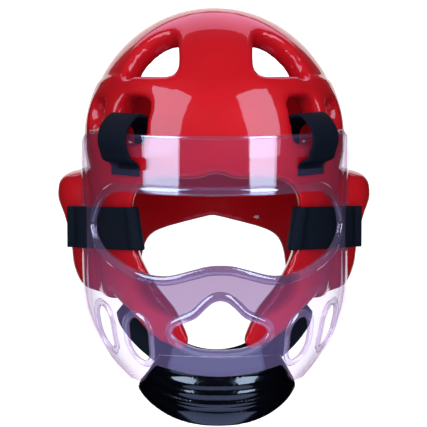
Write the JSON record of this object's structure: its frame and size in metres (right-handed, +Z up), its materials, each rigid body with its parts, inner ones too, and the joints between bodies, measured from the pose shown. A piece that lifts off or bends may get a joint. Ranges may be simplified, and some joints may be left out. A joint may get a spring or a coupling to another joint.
{
  "type": "taekwondo headgear",
  "caption": "Dipped-foam sparring head guard with a clear strapped-on face shield, a ribbed chin cup and a chin strap.",
  "frame": {"origin": "where the top of the wearer's head meets the inside of the crown", "axes": "+Z up through the crown, the face looks along -Y, +X is the wearer's left"},
  "size_m": [0.239, 0.2413, 0.294],
  "materials": {
    "foam": "gloss",
    "clear": "gloss",
    "cup": "gloss",
    "webbing": "matte"
  },
  "bodies": {
    "root": {"foam_shell": "foam", "face_shield": "clear", "chin_cup": "cup", "chin_strap": "webbing", "brow_strap_left": "webbing", "brow_strap_right": "webbing", "side_strap_left": "webbing", "side_strap_right": "webbing"}
  },
  "joints": []
}
